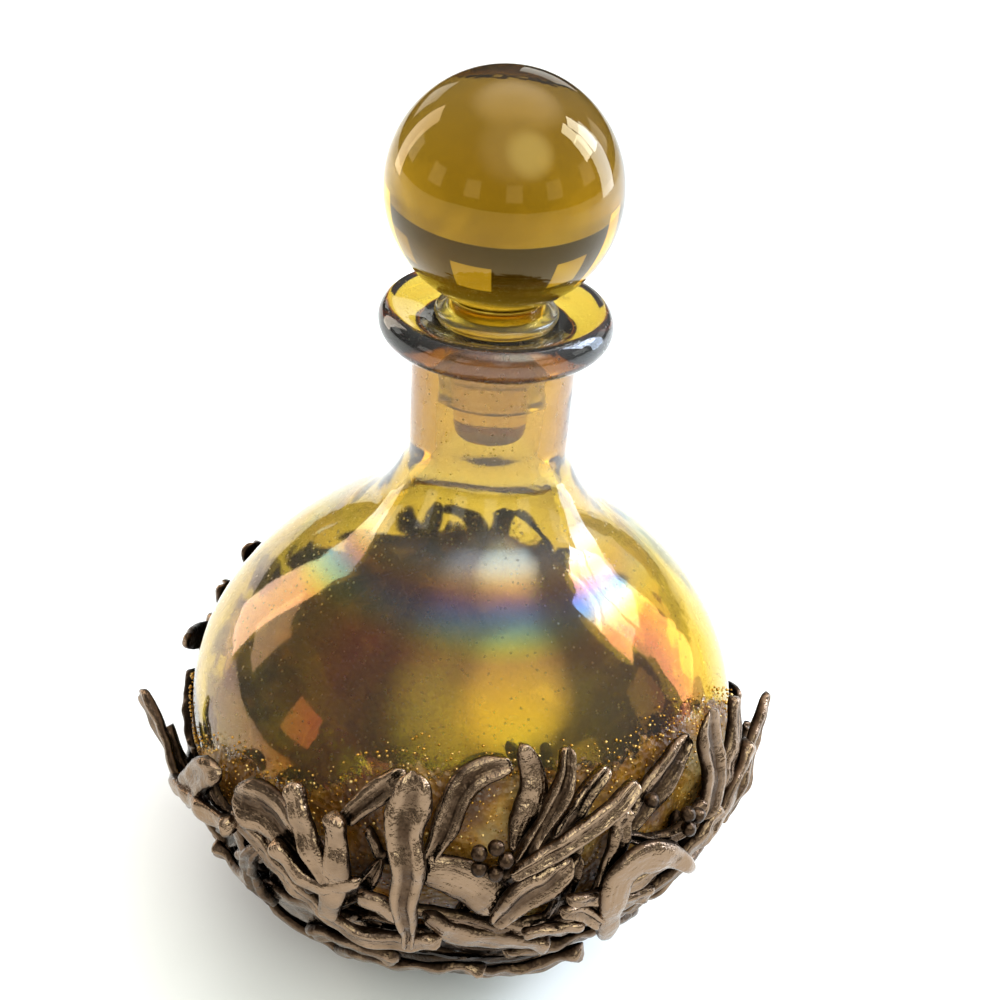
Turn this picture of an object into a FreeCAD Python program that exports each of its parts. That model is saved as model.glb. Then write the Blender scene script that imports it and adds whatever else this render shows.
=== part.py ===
"""Stoppered glass scent bottle standing in a sleeve of soldered pewter leaf-work.

Millimetres. The bottle's axis is Z, the feet stand on z = 0 and the front faces -Y.
A place on the belly is written (azimuth, height): azimuth in degrees from the front,
growing towards +X, and height in millimetres above the feet.
"""
import FreeCAD, Part
import math
import os
from FreeCAD import Vector

# ---- bottle glass ----
FOOT_HEIGHT = 0.9
FLOOR_THICK = 1.1
GLASS_BASE_Z = FOOT_HEIGHT + FLOOR_THICK
GLASS_WALL = 2.2
GLASS_BASE_THICK = 4.0
# radius and height of the belly's outer curve, from the base corner to the foot of the neck
BELLY = [(14.5, GLASS_BASE_Z), (22.0, 9.0), (29.3, 18.0), (34.4, 27.0), (37.0, 38.0),
         (35.2, 46.0), (30.2, 54.0), (21.5, 62.0), (13.8, 68.5), (10.0, 75.5)]
NECK_RADIUS = 10.1
NECK_FOOT_Z = BELLY[-1][1]
BORE_RADIUS = 6.6
LIP_RADIUS = 14.2
LIP_UNDER_Z = 91.4
LIP_TOP_Z = 95.8
LIP_CREST_RADIUS = 12.9
DISH_RADIUS = 8.2
DISH_Z = 94.2
BORE_MOUTH_Z = 93.7

# ---- stopper and its seal ----
BALL_RADIUS = 14.0
TOTAL_HEIGHT = 124.0
BALL_Z = TOTAL_HEIGHT - BALL_RADIUS
STEM_RADIUS = 5.7
PLUG_TOP_RADIUS = 5.6
PLUG_TIP_RADIUS = 4.5
PLUG_TIP_Z = 79.0
PLUG_TOP_Z = 95.5
SEAL_CLEARANCE = 0.05
SEAL_BOTTOM_Z = 84.5
SEAL_FLANGE_Z = 94.3
SEAL_TOP_Z = 95.4
SEAL_FLANGE_RADIUS = 7.5

# ---- cement and sleeve ----
CEMENT_THICK = 0.6
CEMENT_BOTTOM_Z = 3.5
CEMENT_TOP_Z = 50.0
CUP_GAP = 0.05
CUP_THICK = 1.1
CUP_TOP_Z = 16.0
FOOT_RADIUS = 3.4
FOOT_TOE_RADIUS = 2.6
FOOT_CIRCLE = 12.5
FOOT_AZIMUTHS = [-35, 40, 145, 220]
METAL_THICK = 1.25
LAYER_STEP = 1.3
LEAF_GAP = 0.05
BERRY_RADIUS = 0.95
# turn about the axis and share of the height for each half of the sleeve
HALVES = {"front": (0, 1.0), "back": (180, 0.84)}

# Width along a leaf from root to tip, as shares of its widest place.
FORMS = {
    "leaf": [0.40, 0.72, 0.94, 1.00, 0.96, 0.80, 0.42],
    "strap": [0.72, 0.92, 1.00, 1.00, 1.00, 0.94, 0.72],
    "flare": [0.30, 0.42, 0.58, 0.76, 0.92, 1.00, 0.86],
}

# One half of the sleeve. Each blade has its name, root, middle and tip on the belly, widest
# width, layer out from the cement, form, and how far its tip stands off its layer.
BLADES = [
    ("outer_blade", (-54, 26), (-64, 31), (-76, 35.5), 4.0, 1, "leaf", 0.8),
    ("curled_blade", (-62, 31), (-70, 36), (-80, 38.5), 4.2, 2, "strap", 2.4),
    ("blunt_blade", (-63, 31), (-55, 37), (-45, 43), 4.6, 2, "strap", 0.3),
    ("left_vine", (-61, 27), (-50, 35), (-38, 39), 3.2, 1, "strap", 0.0),
    ("eye_leaf", (-18, 38.5), (-29, 41.5), (-41, 42), 6.4, 2, "strap", 0.3),
    ("folded_leaf", (-18, 38.5), (-23, 43), (-29, 47), 3.2, 3, "leaf", 0.0),
    ("stub_stalk", (-19, 33), (-18, 39.5), (-19, 46), 3.0, 3, "strap", 0.0),
    ("broad_leaf", (-6, 31), (-6, 41), (-8, 51), 5.2, 3, "flare", 0.6),
    ("arched_leaf", (-4, 40), (1, 48.5), (11, 52), 3.3, 1, "leaf", 0.0),
    ("hooked_leaf", (11, 43), (14.5, 48), (12, 53.5), 3.3, 1, "leaf", 1.4),
    ("straight_leaf", (12, 42), (17, 47.5), (22.5, 52.5), 2.7, 2, "strap", 0.5),
    ("long_strap", (10, 42), (22, 44.5), (34, 48), 2.7, 3, "strap", 0.3),
    ("bow_leaf_left", (-6, 41), (2, 39.5), (11, 35.5), 5.2, 1, "strap", 0.0),
    ("bow_leaf_right", (8, 34.5), (14, 38), (21, 42), 4.8, 2, "leaf", 0.0),
    ("upright_strand", (25, 31), (28, 39), (32, 46), 3.0, 2, "strap", 0.0),
    ("twisted_leaf", (28, 29), (32, 40), (45, 35), 4.4, 3, "leaf", 0.4),
    ("shoulder_leaf", (32, 41), (41, 46.5), (51, 49), 4.2, 1, "leaf", 0.4),
    ("tall_leaf", (50, 39), (54, 45), (55, 50.5), 4.2, 2, "strap", 1.0),
    ("flank_leaf", (53, 37), (63, 42), (68, 48), 4.0, 1, "leaf", 0.6),
    ("edge_leaf", (58, 35), (70, 39.5), (80, 44), 4.0, 2, "leaf", 0.8),
    ("wide_blade", (-50, 20), (-28, 26), (-3, 29), 8.0, 1, "leaf", 0.0),
    ("right_blade", (8, 32), (24, 30.5), (41, 29), 5.6, 1, "leaf", 0.0),
    ("lower_blade", (12, 24), (29, 23), (47, 23), 5.6, 1, "leaf", 0.0),
    ("right_sweep", (47, 24), (62, 28), (78, 33), 5.0, 1, "leaf", 0.0),
]

# Blades too small or too alike for nodes of their own: each list is one node, with both
# halves of the sleeve in it. A row is root, middle, tip, width and layer.
SMALL_LEAVES = [
    ((-18, 44.5), (-14, 48), (-10, 51), 2.6, 2),
    ((18, 44), (24, 47), (31, 49.5), 2.4, 1),
    ((-15, 36.5), (-11, 36), (-7, 34), 2.6, 2),
    ((17, 39.5), (21, 40.5), (25, 42), 2.2, 0),
    ((19, 37), (23, 35.5), (27, 33), 2.4, 3),
]
THIN_STEMS = [
    ((-16, 43.5), (-12, 40.5), (-8, 42), 1.4, 0),
    ((13, 34), (18, 34), (24, 34), 1.5, 3),
    ((48, 40), (45, 35), (41, 29), 2.4, 0),
    ((-30, 15), (-12, 20), (9, 22), 1.8, 2),
]
SIDE_STRANDS = [
    ((-51, 35), (-49, 30), (-43, 24), 2.8, 0),
    ((-63, 31), (-57, 25), (-48, 19), 3.0, 0),
    ((-80, 33), (-74, 27), (-66, 21), 3.4, 0),
]
FOOT_BLADES = [
    ((-84, 8), (-66, 12), (-48, 16), 4.8, 1),
    ((-46, 7), (-28, 10), (-10, 15), 4.8, 1),
    ((-12, 7), (6, 10), (26, 15), 4.8, 1),
    ((26, 7), (44, 11), (62, 17), 4.8, 1),
    ((62, 8), (76, 14), (92, 19), 4.8, 1),
    ((-66, 24), (-46, 17), (-24, 14), 4.4, 2),
]
BLADE_GROUPS = {
    "small_leaves": (SMALL_LEAVES, "strap"),
    "thin_stems": (THIN_STEMS, "strap"),
    "side_strands": (SIDE_STRANDS, "strap"),
    "foot_blades": (FOOT_BLADES, "leaf"),
}

# Centre, count and layer of each knot of berries.
BERRY_KNOTS = [((7, 43.5), 5, 3), ((44, 42), 3, 3), ((-22, 37), 3, 2), ((37, 45.5), 1, 2)]


def curve_through(points):
    """Smooth curve in the XZ plane through (radius, height) points."""
    curve = Part.BSplineCurve()
    curve.interpolate([Vector(r, 0, z) for r, z in points])
    return curve


def outset(points, distance):
    """The (radius, height) points moved square to the outline, outwards when positive."""
    moved = []
    last = len(points) - 1
    for i, (r, z) in enumerate(points):
        r0, z0 = points[max(i - 1, 0)]
        r1, z1 = points[min(i + 1, last)]
        run = math.hypot(r1 - r0, z1 - z0)
        moved.append((r + distance * (z1 - z0) / run, z - distance * (r1 - r0) / run))
    return moved


def param_at_height(curve, height):
    """Parameter where a rising curve passes a height."""
    low, high = curve.FirstParameter, curve.LastParameter
    for _ in range(50):
        middle = (low + high) / 2
        if curve.value(middle).z < height:
            low = middle
        else:
            high = middle
    return (low + high) / 2


def span(curve, low_z, high_z):
    """Edge of the part of a rising curve that lies between two heights."""
    return curve.toShape(param_at_height(curve, low_z), param_at_height(curve, high_z))


def line(start, end):
    return Part.makeLine(Vector(start[0], 0, start[1]), Vector(end[0], 0, end[1]))


def arc(start, middle, end):
    points = [Vector(r, 0, z) for r, z in (start, middle, end)]
    return Part.Arc(*points).toShape()


def chain(points):
    """Straight edges joining (radius, height) points in order."""
    return [line(a, b) for a, b in zip(points, points[1:])]


def turned(edges):
    """Solid of revolution about Z of a closed outline in the XZ plane."""
    outline = Part.Wire(Part.__sortEdges__(edges))
    return Part.Face(outline).revolve(Vector(0, 0, 0), Vector(0, 0, 1), 360)


BELLY_CURVE = curve_through(BELLY)


def on_belly(azimuth, height, standoff):
    """Point above the glass belly, and the outward direction square to the glass there."""
    parameter = param_at_height(BELLY_CURVE, height)
    at = BELLY_CURVE.value(parameter)
    slope = BELLY_CURVE.tangent(parameter)[0]
    turn = math.radians(azimuth)
    outward = Vector(math.sin(turn), -math.cos(turn), 0)
    normal = outward * slope.z - Vector(0, 0, slope.x)
    return outward * at.x + Vector(0, 0, at.z) + normal * standoff, normal


def make_bottle_glass():
    """Blown belly, straight neck and dished flange lip, open down the bore."""
    inner = outset(BELLY, -GLASS_WALL)
    inner[0] = (BELLY[0][0] - GLASS_WALL, GLASS_BASE_Z + GLASS_BASE_THICK)
    inner[-1] = (BORE_RADIUS, NECK_FOOT_Z)
    base_corner = BELLY[0]
    neck_foot = BELLY[-1]
    neck_top = (NECK_RADIUS, LIP_UNDER_Z - 1.2)
    under_lip = (NECK_RADIUS + 1.2, LIP_UNDER_Z)
    lip_edge = (LIP_RADIUS - 0.9, LIP_UNDER_Z + 0.3)
    lip_crest = (LIP_CREST_RADIUS, LIP_TOP_Z)
    edges = [line((0, GLASS_BASE_Z), base_corner), BELLY_CURVE.toShape(), line(neck_foot, neck_top)]
    edges.append(arc(neck_top, (NECK_RADIUS + 0.35, LIP_UNDER_Z - 0.35), under_lip))
    edges.append(line(under_lip, lip_edge))
    edges.append(arc(lip_edge, (LIP_RADIUS, LIP_UNDER_Z + 2.2), lip_crest))
    edges.append(arc(lip_crest, (LIP_CREST_RADIUS - 1.6, LIP_TOP_Z - 0.45), (DISH_RADIUS, DISH_Z)))
    edges += chain([(DISH_RADIUS, DISH_Z), (BORE_RADIUS, BORE_MOUTH_Z), inner[-1]])
    edges.append(curve_through(inner).toShape())
    edges += chain([inner[0], (0, inner[0][1]), (0, GLASS_BASE_Z)])
    return turned(edges)


def make_stopper():
    """Solid glass ball on a short stem, with a tapered plug below."""
    join_z = BALL_Z - math.sqrt(BALL_RADIUS ** 2 - STEM_RADIUS ** 2)
    toe = 0.8
    edges = [arc((0, TOTAL_HEIGHT), (BALL_RADIUS, BALL_Z), (STEM_RADIUS, join_z))]
    edges += chain([(STEM_RADIUS, join_z), (PLUG_TOP_RADIUS, PLUG_TOP_Z),
                    (PLUG_TIP_RADIUS, PLUG_TIP_Z + toe)])
    edges.append(arc((PLUG_TIP_RADIUS, PLUG_TIP_Z + toe),
                     (PLUG_TIP_RADIUS - 0.3, PLUG_TIP_Z + 0.3), (PLUG_TIP_RADIUS - toe, PLUG_TIP_Z)))
    edges += chain([(PLUG_TIP_RADIUS - toe, PLUG_TIP_Z), (0, PLUG_TIP_Z), (0, TOTAL_HEIGHT)])
    return turned(edges)


def plug_radius(height):
    """Radius of the stopper's tapered plug at a height."""
    share = (height - PLUG_TIP_Z) / (PLUG_TOP_Z - PLUG_TIP_Z)
    return PLUG_TIP_RADIUS + share * (PLUG_TOP_RADIUS - PLUG_TIP_RADIUS)


def make_stopper_seal():
    """Clear sleeve round the plug, with a flange that sits in the dished lip."""
    outer = BORE_RADIUS - SEAL_CLEARANCE
    bottom_bore = plug_radius(SEAL_BOTTOM_Z) + SEAL_CLEARANCE
    top_bore = plug_radius(SEAL_TOP_Z) + SEAL_CLEARANCE
    return turned(chain([(bottom_bore, SEAL_BOTTOM_Z), (outer, SEAL_BOTTOM_Z), (outer, SEAL_FLANGE_Z),
                         (SEAL_FLANGE_RADIUS, SEAL_FLANGE_Z), (SEAL_FLANGE_RADIUS, SEAL_TOP_Z),
                         (top_bore, SEAL_TOP_Z), (bottom_bore, SEAL_BOTTOM_Z)]))


def make_cement_bed():
    """Thin skin of gold-dusted cement between the glass and the sleeve."""
    skin = curve_through(outset(BELLY, CEMENT_THICK))
    inner = span(BELLY_CURVE, CEMENT_BOTTOM_Z, CEMENT_TOP_Z)
    outer = span(skin, CEMENT_BOTTOM_Z, CEMENT_TOP_Z - CEMENT_THICK)
    ends = [(edge.Vertexes[0].Point, edge.Vertexes[-1].Point) for edge in (inner, outer)]
    closing = [Part.makeLine(ends[0][i], ends[1][i]) for i in (0, 1)]
    return turned([inner, outer] + closing)


def make_base_cup():
    """Shallow metal cup under the glass, with a flat floor and a flaring wall."""
    inner = curve_through(outset(BELLY, CEMENT_THICK + CUP_GAP))
    outer = curve_through(outset(BELLY, CEMENT_THICK + CUP_GAP + CUP_THICK))
    wall_in = span(inner, GLASS_BASE_Z, CUP_TOP_Z)
    wall_out = span(outer, GLASS_BASE_Z, CUP_TOP_Z)
    foot_in, top_in = wall_in.Vertexes[0].Point, wall_in.Vertexes[-1].Point
    foot_out, top_out = wall_out.Vertexes[0].Point, wall_out.Vertexes[-1].Point
    edges = [wall_in, wall_out, Part.makeLine(top_in, top_out)]
    edges += chain([(foot_out.x, foot_out.z), (foot_out.x - 0.6, FOOT_HEIGHT), (0, FOOT_HEIGHT),
                    (0, GLASS_BASE_Z), (foot_in.x, foot_in.z)])
    return turned(edges)


def make_feet():
    """Flattened pads under the cup that the bottle stands on."""
    pads = []
    for azimuth in FOOT_AZIMUTHS:
        turn = math.radians(azimuth)
        centre = Vector(FOOT_CIRCLE * math.sin(turn), -FOOT_CIRCLE * math.cos(turn), 0)
        pads.append(Part.makeCone(FOOT_TOE_RADIUS, FOOT_RADIUS, FOOT_HEIGHT, centre))
    return Part.makeCompound(pads)


def path_point(root, middle, tip, share):
    """(azimuth, height) on the parabola through the root, the middle and the tip."""
    at_root = (1 - share) * (1 - 2 * share)
    at_middle = 4 * share * (1 - share)
    at_tip = share * (2 * share - 1)
    return [at_root * a + at_middle * b + at_tip * c for a, b, c in zip(root, middle, tip)]


def make_blade(root, middle, tip, width, layer, form="strap", lift=0.0):
    """Strip of metal laid along the belly: flat inside, crowned outside."""
    shares = FORMS[form]
    steps = len(shares) - 1
    bottom = CEMENT_THICK + LEAF_GAP + layer * LAYER_STEP
    centres = []
    for i in range(steps + 1):
        share = i / steps
        azimuth, height = path_point(root, middle, tip, share)
        centres.append(on_belly(azimuth, height, bottom + lift * share ** 3))
    wires = []
    for i, (centre, normal) in enumerate(centres):
        ahead = centres[min(i + 1, steps)][0] - centres[max(i - 1, 0)][0]
        side = ahead.cross(normal).normalize()
        half = width * shares[i] / 2
        edge_height = METAL_THICK * 0.45
        corners = [(-half, 0), (half, 0), (half, edge_height), (half * 0.5, METAL_THICK),
                   (-half * 0.5, METAL_THICK), (-half, edge_height)]
        wires.append(Part.makePolygon([centre + side * s + normal * n for s, n in corners + corners[:1]]))
    return Part.makeLoft(wires, True, True)


def make_berries(centre, count, layer):
    """Knot of small balls: a lone one, or a ring that keeps them clear of each other."""
    standoff = CEMENT_THICK + LEAF_GAP + layer * LAYER_STEP + BERRY_RADIUS
    middle, normal = on_belly(centre[0], centre[1], standoff)
    if count == 1:
        return [Part.makeSphere(BERRY_RADIUS, middle)]
    ring = (BERRY_RADIUS + LEAF_GAP) / math.sin(math.pi / count)
    across = Vector(0, 0, 1).cross(normal).normalize()
    along = normal.cross(across)
    balls = []
    for i in range(count):
        turn = 2 * math.pi * i / count
        at = middle + across * ring * math.cos(turn) + along * ring * math.sin(turn)
        balls.append(Part.makeSphere(BERRY_RADIUS, at))
    return balls


def moved_round(places, half):
    """The same places on the belly, carried round the axis and brought down for a half."""
    turn, squash = HALVES[half]
    return [(azimuth + turn, height * squash) for azimuth, height in places]


def make_sleeve():
    """All the leaf-work, as a dictionary of node name to shape."""
    nodes = {}
    for half in HALVES:
        for name, root, middle, tip, width, layer, form, lift in BLADES:
            places = moved_round((root, middle, tip), half)
            nodes[f"{half}_{name}"] = make_blade(*places, width, layer, form, lift)
    for name, (rows, form) in BLADE_GROUPS.items():
        blades = []
        for half in HALVES:
            for root, middle, tip, width, layer in rows:
                blades.append(make_blade(*moved_round((root, middle, tip), half), width, layer, form))
        nodes[name] = Part.makeCompound(blades)
    berries = []
    for half in HALVES:
        for centre, count, layer in BERRY_KNOTS:
            berries += make_berries(moved_round([centre], half)[0], count, layer)
    nodes["berries"] = Part.makeCompound(berries)
    return nodes


def main():
    nodes = {
        "bottle_glass": make_bottle_glass(),
        "stopper": make_stopper(),
        "stopper_seal": make_stopper_seal(),
        "cement_bed": make_cement_bed(),
        "base_cup": make_base_cup(),
        "feet": make_feet(),
    }
    nodes.update(make_sleeve())
    os.makedirs("parts", exist_ok=True)
    for name, shape in nodes.items():
        solids = shape.Solids
        if not shape.isValid() or min(solid.Volume for solid in solids) <= 0:
            raise ValueError(f"{name} is not a sound solid")
        shape.exportStep(os.path.join("parts", f"{name}.step"))
        print(f"{name}: {len(solids)} solid(s), {shape.Volume:.1f} mm3")


main()
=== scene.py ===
"""Stoppered lustre-glass scent bottle standing in a sleeve of soldered pewter leaf-work.

Sizes in the tables are millimetres. The bottle's axis is Z, the feet stand on z = 0 and the
front faces -Y. A place on the belly is written (azimuth, height): azimuth in degrees from the
front, growing towards +X, and height above the feet.
"""
from math import acos, atan2, copysign, cos, exp, hypot, pi, radians, sin, sqrt

import bmesh
import bpy
import numpy as np
from mathutils import Matrix, Vector, noise


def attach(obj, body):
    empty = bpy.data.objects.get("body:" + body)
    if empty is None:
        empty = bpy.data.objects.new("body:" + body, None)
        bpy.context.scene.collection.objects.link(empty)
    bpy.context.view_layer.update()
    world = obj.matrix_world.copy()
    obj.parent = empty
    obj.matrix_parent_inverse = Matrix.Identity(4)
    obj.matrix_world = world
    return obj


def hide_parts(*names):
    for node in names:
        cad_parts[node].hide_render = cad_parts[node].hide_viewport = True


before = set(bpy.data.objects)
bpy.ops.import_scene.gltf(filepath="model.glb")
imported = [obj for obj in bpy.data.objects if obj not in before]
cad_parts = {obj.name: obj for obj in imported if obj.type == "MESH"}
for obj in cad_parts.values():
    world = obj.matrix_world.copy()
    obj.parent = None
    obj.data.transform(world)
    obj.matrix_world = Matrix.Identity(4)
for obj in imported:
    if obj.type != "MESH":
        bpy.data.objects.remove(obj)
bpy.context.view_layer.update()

MM = 0.001

# ---- bottle glass ----
FOOT_HEIGHT = 0.9
GLASS_BASE_Z = 2.0
GLASS_WALL = 2.2
GLASS_BASE_THICK = 4.0
BELLY = [(14.5, 2.0), (22.0, 9.0), (29.3, 18.0), (34.4, 27.0), (37.0, 38.0),
         (35.2, 46.0), (30.2, 54.0), (21.5, 62.0), (13.8, 68.5), (10.0, 75.5)]
NECK_RADIUS = 10.1
BORE_RADIUS = 6.6
# how far the blown belly leans to -X, by height
LEAN = [(0, 0.2), (12, -0.7), (25, -1.2), (38, -1.4), (52, -1.0), (64, -0.3), (72, 0.0), (76, 0.0),
        (79, 0.0), (130, 0.0)]

# ---- stopper ----
BALL_RADIUS = 14.0
BALL_Z = 110.0
STEM_RADIUS = 5.7

# ---- sleeve ----
CEMENT_THICK = 0.6
LEAF_GAP = 0.05
LAYER_STEP = 1.3
METAL_THICK = 1.25
BERRY_RADIUS = 0.95
CUP_TOP_Z = 16.0
FOOT_CIRCLE = 12.5
FOOT_AZIMUTHS = [-35, 40, 145, 220]
HALVES = {"front": (0, 1.0), "back": (180, 0.84)}
# height of the cement's upper edge by azimuth, for the front half
CEMENT_EDGE = [(-90, 38), (-67, 38), (-54, 45), (-42, 45.6), (-26, 48), (-18, 51), (-8, 53), (20, 53),
               (33, 51.5), (52, 52), (66, 50), (78, 45), (90, 40)]

FORMS = {
    "leaf": [0.40, 0.72, 0.94, 1.00, 0.96, 0.80, 0.42],
    "strap": [0.72, 0.92, 1.00, 1.00, 1.00, 0.94, 0.72],
    "flare": [0.30, 0.42, 0.58, 0.76, 0.92, 1.00, 0.86],
}

# name, root, middle, tip, widest width, layer, form, lift, crease down the middle, tip shape
BLADES = [
    ("outer_blade", (-54, 26), (-64, 31), (-76, 35.5), 4.0, 1, "leaf", 0.8, 0.45, "blunt"),
    ("curled_blade", (-62, 31), (-70, 36), (-80, 38.5), 4.2, 2, "strap", 2.4, 0.30, "curl"),
    ("blunt_blade", (-63, 31), (-55, 37), (-45, 43), 4.6, 2, "strap", 0.3, 0.15, "blunt"),
    ("left_vine", (-61, 27), (-50, 35), (-38, 39), 3.2, 1, "strap", 0.0, 0.10, "blunt"),
    ("eye_leaf", (-18, 38.5), (-29, 41.5), (-41, 42), 6.4, 2, "strap", 0.3, 0.60, "blunt"),
    ("folded_leaf", (-18, 38.5), (-23, 43), (-29, 47), 3.2, 3, "leaf", 0.0, 0.10, "bead"),
    ("stub_stalk", (-19, 33), (-18, 39.5), (-19, 46), 3.0, 3, "strap", 0.0, 0.05, "bead"),
    ("broad_leaf", (-6, 31), (-6, 41), (-8, 51), 4.7, 3, "flare", 0.6, 0.55, "curl"),
    ("arched_leaf", (-4, 40), (1, 48.5), (11, 52), 3.3, 1, "leaf", 0.0, 0.35, "blunt"),
    ("hooked_leaf", (11, 43), (14.5, 48), (12, 53.5), 3.3, 1, "leaf", 1.4, 0.25, "curl"),
    ("straight_leaf", (12, 42), (17, 47.5), (22.5, 52.5), 2.7, 2, "strap", 0.5, 0.55, "blunt"),
    ("long_strap", (10, 42), (22, 44.5), (34, 48), 2.7, 3, "strap", 0.3, 0.35, "blunt"),
    ("bow_leaf_left", (-6, 41), (2, 39.5), (11, 35.5), 5.2, 1, "strap", 0.0, 0.35, "blunt"),
    ("bow_leaf_right", (8, 34.5), (14, 38), (21, 42), 4.8, 2, "leaf", 0.0, 0.45, "blunt"),
    ("upright_strand", (25, 31), (28, 39), (32, 46), 3.0, 2, "strap", 0.0, 0.20, "bead"),
    ("twisted_leaf", (28, 29), (32, 40), (45, 35), 4.4, 3, "leaf", 0.4, 0.50, "blunt"),
    ("shoulder_leaf", (32, 41), (41, 46.5), (51, 49), 4.2, 1, "leaf", 0.4, 0.50, "blunt"),
    ("tall_leaf", (50, 39), (54, 45), (55, 50.5), 4.2, 2, "strap", 1.0, 0.45, "curl"),
    ("flank_leaf", (53, 37), (63, 42), (68, 48), 4.0, 1, "leaf", 0.6, 0.45, "blunt"),
    ("edge_leaf", (58, 35), (70, 39.5), (80, 44), 4.0, 2, "leaf", 0.8, 0.45, "curl"),
    ("wide_blade", (-50, 20), (-28, 26), (-3, 29), 8.0, 1, "leaf", 0.0, 0.25, "blunt"),
    ("right_blade", (8, 32), (24, 30.5), (41, 29), 5.6, 1, "leaf", 0.0, 0.45, "blunt"),
    ("lower_blade", (12, 24), (29, 23), (47, 23), 5.6, 1, "leaf", 0.0, 0.45, "blunt"),
    ("right_sweep", (47, 24), (62, 28), (78, 33), 5.0, 1, "leaf", 0.0, 0.40, "blunt"),
]

# root, middle, tip, width, layer
SMALL_LEAVES = [
    ((-18, 44.5), (-14, 48), (-10, 51), 2.6, 2),
    ((18, 44), (24, 47), (31, 49.5), 2.4, 1),
    ((-15, 36.5), (-11, 36), (-7, 34), 2.6, 2),
    ((17, 39.5), (21, 40.5), (25, 42), 2.2, 0),
    ((19, 37), (23, 35.5), (27, 33), 2.4, 3),
]
THIN_STEMS = [
    ((-16, 43.5), (-12, 40.5), (-8, 42), 1.4, 0),
    ((13, 34), (18, 34), (24, 34), 1.5, 3),
    ((48, 40), (45, 35), (41, 29), 2.4, 0),
    ((-30, 15), (-12, 20), (9, 22), 1.8, 2),
]
SIDE_STRANDS = [
    ((-51, 35), (-49, 30), (-43, 24), 2.8, 0),
    ((-63, 31), (-57, 25), (-48, 19), 3.0, 0),
    ((-80, 33), (-74, 27), (-66, 21), 3.4, 0),
]
FOOT_BLADES = [
    ((-84, 8), (-66, 12), (-48, 16), 4.8, 1),
    ((-46, 7), (-28, 10), (-10, 15), 4.8, 1),
    ((-12, 7), (6, 10), (26, 15), 4.8, 1),
    ((26, 7), (44, 11), (62, 17), 4.8, 1),
    ((62, 8), (76, 14), (92, 19), 4.8, 1),
    ((-66, 24), (-46, 17), (-24, 14), 4.4, 2),
]
# stems and little leaves soldered into the gaps, with no collision shape of their own
GAP_STRANDS = [
    ((-40, 22), (-34, 31), (-24, 36), 2.4, 0),
    ((-32, 40), (-36, 35), (-44, 31), 2.2, 1),
    ((-24, 22), (-16, 30), (-6, 33), 2.6, 1),
    ((-14, 24), (0, 27), (12, 33), 3.0, 0),
    ((-8, 36), (4, 33), (18, 31), 2.6, 1),
    ((0, 20), (12, 26), (26, 29), 3.2, 0),
    ((20, 20), (36, 22), (54, 27), 3.4, 0),
    ((34, 34), (44, 31), (58, 32), 2.8, 1),
    ((40, 38), (52, 36), (64, 38), 2.4, 0),
    ((58, 22), (70, 25), (84, 30), 3.4, 0),
    ((66, 34), (76, 33), (88, 36), 2.8, 0),
    ((-88, 26), (-76, 24), (-62, 26), 3.4, 0),
    ((-92, 36), (-84, 33), (-74, 32), 2.8, 0),
    ((-72, 20), (-58, 21), (-44, 25), 3.2, 0),
    ((-12, 41), (-17, 35), (-26, 29), 2.8, 1),
    ((-36, 25), (-38, 32), (-34, 38), 2.6, 2),
    ((-54, 41), (-46, 38), (-38, 33), 2.8, 1),
    ((2, 33), (10, 40), (22, 46), 2.4, 0),
    ((18, 27), (20, 35), (24, 41), 2.8, 1),
    ((34, 25), (38, 32), (36, 40), 2.8, 1),
    ((30, 43), (40, 40), (50, 42), 2.4, 2),
    ((46, 30), (50, 37), (60, 43), 2.8, 1),
    ((70, 26), (66, 34), (70, 41), 2.8, 1),
    ((82, 24), (84, 32), (80, 39), 3.0, 1),
    ((-66, 33), (-76, 29), (-88, 30), 2.8, 1),
]
# wavy vines laid last, over the leaves' roots
VINES = [
    ((-66, 33), (-52, 36), (-39, 39), 2.6, 2.4),
    ((-41, 39.5), (-31, 37), (-20, 32), 2.8, 2.0),
    ((-22, 34), (-12, 31), (0, 32.5), 2.8, 2.6),
    ((-4, 35), (8, 31), (20, 29), 3.0, 1.8),
    ((16, 32), (27, 35), (38, 33.5), 2.6, 2.4),
    ((34, 30), (46, 35), (56, 39), 2.8, 1.9),
    ((50, 36), (60, 38), (70, 42), 2.4, 1.9),
    ((-38, 30), (-46, 26), (-56, 27), 2.6, 1.8),
    ((20, 38), (30, 37), (42, 39.5), 2.0, 2.8),
    ((-14, 40), (-22, 38), (-30, 40.5), 2.0, 3.0),
    ((-30, 22), (-20, 25), (-8, 24), 2.8, 2.0),
    ((4, 22), (16, 20), (30, 23), 2.8, 2.0),
]
BERRY_KNOTS = [((7, 43.5), 5, 3), ((44, 42), 3, 3), ((-22, 37), 3, 2), ((37, 45.5), 1, 2)]


# ---- shaping helpers ----

def spline(points, count):
    """Evenly spread points on the natural cubic through the given ones."""
    knots = np.array(points, float)
    t = np.concatenate([[0], np.cumsum(np.linalg.norm(np.diff(knots, axis=0), axis=1))])
    size = len(t)
    gaps = np.diff(t)
    matrix = np.eye(size)
    right = np.zeros_like(knots)
    for i in range(1, size - 1):
        matrix[i, i - 1:i + 2] = gaps[i - 1], 2 * (gaps[i - 1] + gaps[i]), gaps[i]
        right[i] = 6 * ((knots[i + 1] - knots[i]) / gaps[i] - (knots[i] - knots[i - 1]) / gaps[i - 1])
    bend = np.linalg.solve(matrix, right)
    at = np.linspace(0, t[-1], count)
    i = np.clip(np.searchsorted(t, at) - 1, 0, size - 2)
    h = gaps[i][:, None]
    a = (t[i + 1] - at)[:, None] / h
    b = 1 - a
    return (a * knots[i] + b * knots[i + 1]
            + ((a ** 3 - a) * bend[i] + (b ** 3 - b) * bend[i + 1]) * h * h / 6)


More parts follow.
